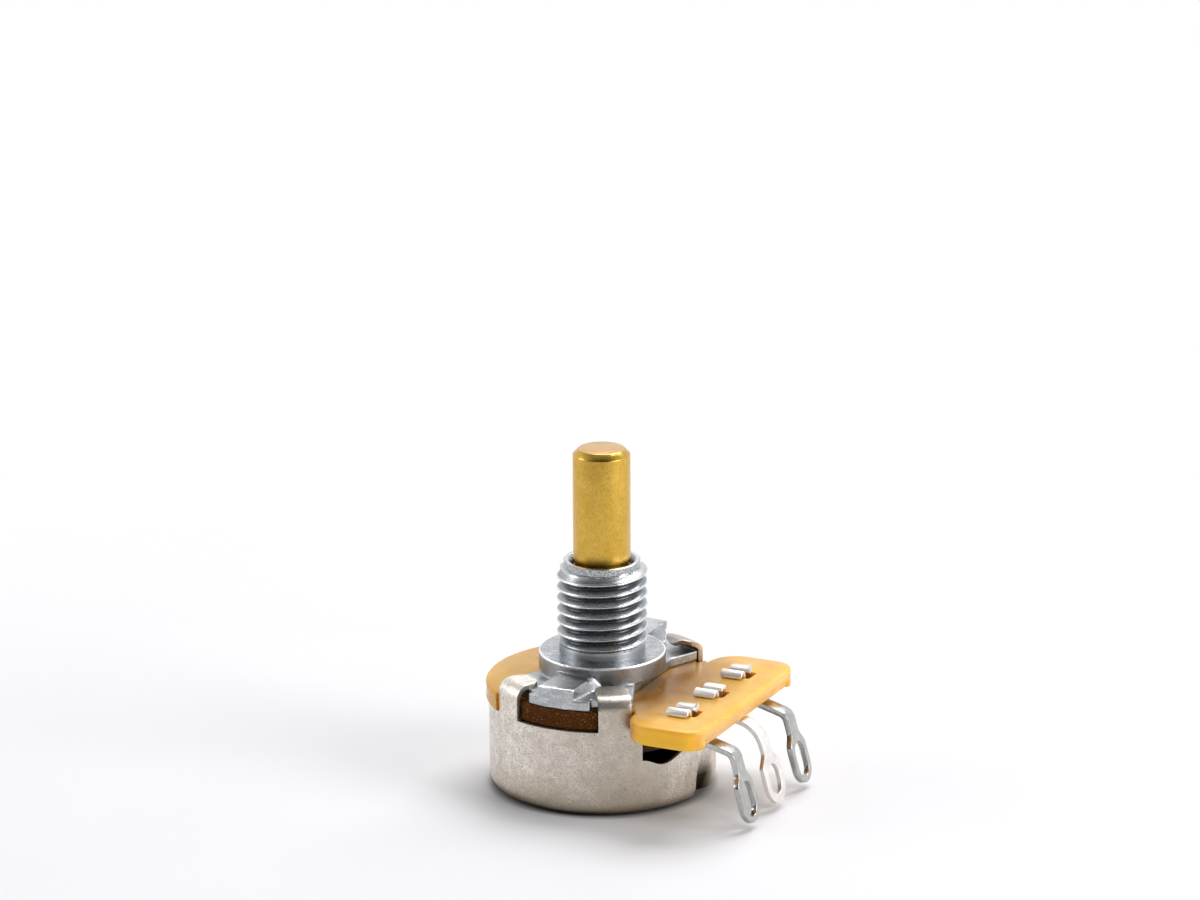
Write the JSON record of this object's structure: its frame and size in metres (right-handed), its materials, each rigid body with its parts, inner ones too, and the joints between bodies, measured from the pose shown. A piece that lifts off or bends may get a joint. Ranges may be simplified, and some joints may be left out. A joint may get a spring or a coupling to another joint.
{
  "type": "rotary potentiometer",
  "caption": "Panel-mount rotary potentiometer with a solid round brass shaft, threaded bushing, crimped steel can and angled solder lugs.",
  "frame": {"origin": "on the shaft's axis, in the plane of the boss face that seats on the panel", "axes": "+Z along the shaft, away from the can; +X from the axis towards the solder lugs"},
  "size_m": [0.0325, 0.025, 0.0365],
  "materials": {
    "nickel_plate": "matt nickel plate on drawn steel, faintly speckled, brown stains near the base",
    "zinc_casting": "bare zinc die casting, blue-grey, softly bright on its edges",
    "board_laminate": "translucent amber laminate with a smooth face and a paler punched edge",
    "tinned_sheet": "tinned brass sheet, bright faces and brass at the cut edges",
    "silver_plate": "silver-plated brass sheet, bright",
    "carbon_print": "printed carbon, matt black",
    "silver_print": "printed silver, matt",
    "turned_brass": "turned and drawn brass, satin along its length, bright chamfer",
    "spring_steel": "oiled spring steel",
    "moulded_carrier": "moulded phenolic, dark brown",
    "zinc_plated_sheet": "zinc-plated steel sheet",
    "contact_bronze": "sprung phosphor bronze"
  },
  "bodies": {
    "stator": {"can": "nickel_plate", "bushing": "zinc_casting", "wafer": "board_laminate", "terminal_left": "tinned_sheet", "terminal_centre": "silver_plate", "terminal_right": "tinned_sheet", "resistive_track": "carbon_print", "end_pad_left": "silver_print", "end_pad_right": "silver_print"},
    "turning_shaft": {"shaft": "turned_brass", "retaining_ring": "spring_steel", "rotor": "moulded_carrier", "stop_plate": "zinc_plated_sheet", "wiper": "contact_bronze"}
  },
  "joints": [
    {"name": "shaft_turn", "type": "hinge", "parent": "stator", "child": "turning_shaft", "pos_m": [0, 0, 0], "axis": [0, 0, 1], "range_deg": [-150, 150]}
  ]
}
